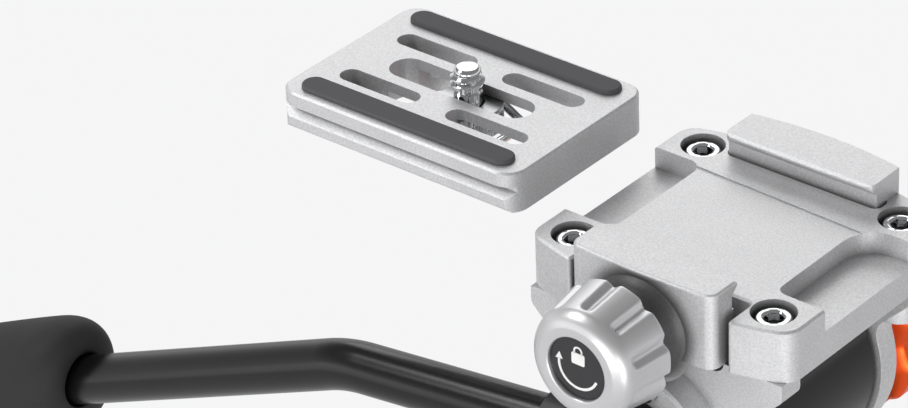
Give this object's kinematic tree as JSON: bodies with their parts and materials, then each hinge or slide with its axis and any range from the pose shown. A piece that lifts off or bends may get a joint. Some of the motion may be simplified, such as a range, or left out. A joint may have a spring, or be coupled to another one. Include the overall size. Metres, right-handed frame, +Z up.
{
  "type": "fluid video head",
  "caption": "Compact two-axis fluid tripod head with a dovetail clamp, sliding quick release plate, bent pan handle and lock knobs.",
  "frame": {"origin": "mouth of the tripod thread, on the pan axis in the flat underside of the base", "axes": "+X forward along the dovetail, away from the handle; +Y left, towards the tilt lock knob; +Z up along the pan axis"},
  "size_m": [0.2476, 0.0834, 0.1248],
  "materials": {
    "silver_casting": "bead blasted, silver anodised",
    "silver_plate": "milled, bead blasted, silver anodised",
    "silver_knob": "turned and milled, silver anodised",
    "black_casting": "satin black paint",
    "black_gloss": "gloss black",
    "scale_ring": "satin dark grey",
    "orange_anodised": "orange anodised",
    "black_plastic": "moulded black",
    "black_tube": "satin black powder coat",
    "grip_rubber": "matt moulded rubber",
    "strip_rubber": "matt rubber",
    "bright_steel": "polished steel",
    "plain_steel": "turned steel",
    "bronze": "sintered bronze",
    "black_seal": "lip seal"
  },
  "bodies": {
    "base": {"base_plate": "silver_casting", "thread_insert": "bright_steel", "base_screws": "plain_steel", "pan_spindle": "plain_steel", "pan_scale_ring": "scale_ring", "pan_drag_washer": "black_seal", "pan_top_washer": "plain_steel", "pan_nut": "plain_steel"},
    "pan_body": {"pan_housing": "black_casting", "pan_bush": "bronze", "pan_brake_shoe": "black_seal", "neck_screws": "plain_steel", "drum_shell": "black_casting", "drum_band": "black_gloss", "left_drum_cap": "plain_steel", "right_drum_cap": "plain_steel", "left_bearing": "bronze", "right_bearing": "bronze", "left_seal": "black_seal", "right_seal": "black_seal", "stator_rings": "plain_steel"},
    "pan_lock": {"pan_lock_knob": "black_plastic", "pan_lock_stud": "plain_steel"},
    "tilt_body": {"top_platform": "silver_casting", "left_arm": "silver_casting", "right_arm": "silver_casting", "tilt_axle": "plain_steel", "rotor_discs": "plain_steel", "lock_washer": "plain_steel", "handle_stop_pin": "bright_steel", "platform_screws": "bright_steel", "jaw_guide_pins": "bright_steel"},
    "tilt_lock": {"tilt_lock_knob": "orange_anodised", "tilt_lock_cap": "black_plastic"},
    "jaw": {"movable_jaw": "silver_casting"},
    "clamp": {"clamp_knob": "silver_knob", "knob_face_disc": "black_gloss", "clamp_screw": "bright_steel", "clamp_clip": "plain_steel"},
    "handle": {"handle_knuckle": "black_casting", "handle_tube": "black_tube", "handle_grip": "grip_rubber", "grip_plug": "black_plastic"},
    "handle_lock": {"handle_screw": "bright_steel"},
    "quick_plate": {"plate_body": "silver_plate", "left_rubber_strip": "strip_rubber", "right_rubber_strip": "strip_rubber"},
    "slot_washer": {"slide_washer": "plain_steel"},
    "mount_screw": {"camera_screw": "bright_steel"},
    "finger_ring": {"camera_screw_ring": "bright_steel"}
  },
  "joints": [
    {"name": "pan", "type": "hinge", "parent": "base", "child": "pan_body", "pos_m": [0, 0, 0.0087], "axis": [0, 0, 1], "continuous": true},
    {"name": "pan_lock_turn", "type": "hinge", "parent": "pan_body", "child": "pan_lock", "pos_m": [0, 0.0319, 0.0141], "axis": [0, 1, 0], "range_deg": [-180, 90]},
    {"name": "tilt", "type": "hinge", "parent": "pan_body", "child": "tilt_body", "pos_m": [0, 0, 0.048], "axis": [0, 1, 0], "range_deg": [-75, 85]},
    {"name": "tilt_lock_turn", "type": "hinge", "parent": "tilt_body", "child": "tilt_lock", "pos_m": [0, 0.0258, 0.048], "axis": [0, 1, 0], "range_deg": [-180, 90]},
    {"name": "clamp_turn", "type": "hinge", "parent": "jaw", "child": "clamp", "pos_m": [0, -0.04, 0.0714], "axis": [0, 1, 0], "range_deg": [0, 1117]},
    {"name": "jaw_slide", "type": "slide", "parent": "tilt_body", "child": "jaw", "axis": [0, 1, 0], "range_m": [0, 0.0031]},
    {"name": "handle_angle", "type": "hinge", "parent": "tilt_body", "child": "handle", "pos_m": [0, -0.0328, 0.048], "axis": [0, 1, 0], "range_deg": [-60, 30]},
    {"name": "handle_lock_turn", "type": "hinge", "parent": "handle", "child": "handle_lock", "pos_m": [0, -0.037, 0.048], "axis": [0, 1, 0], "range_deg": [-180, 90]},
    {"name": "plate_slide", "type": "slide", "parent": "tilt_body", "child": "quick_plate", "axis": [0.9997, 0.0263, 0], "range_m": [0, 0.05902]},
    {"name": "washer_slide", "type": "slide", "parent": "quick_plate", "child": "slot_washer", "axis": [1, 0, 0], "range_m": [-0.008, 0.0092]},
    {"name": "camera_screw_turn", "type": "hinge", "parent": "slot_washer", "child": "mount_screw", "pos_m": [-0.0575, -0.00155, 0.08], "axis": [0, 0, 1], "continuous": true},
    {"name": "ring_fold", "type": "hinge", "parent": "mount_screw", "child": "finger_ring", "pos_m": [-0.0575, -0.00155, 0.0788], "axis": [0, -1, 0], "range_deg": [-100, 0]}
  ],
  "couplings": [
    {"joint": "clamp_turn", "follows": "jaw_slide", "rad_per_m": 6283.2}
  ]
}
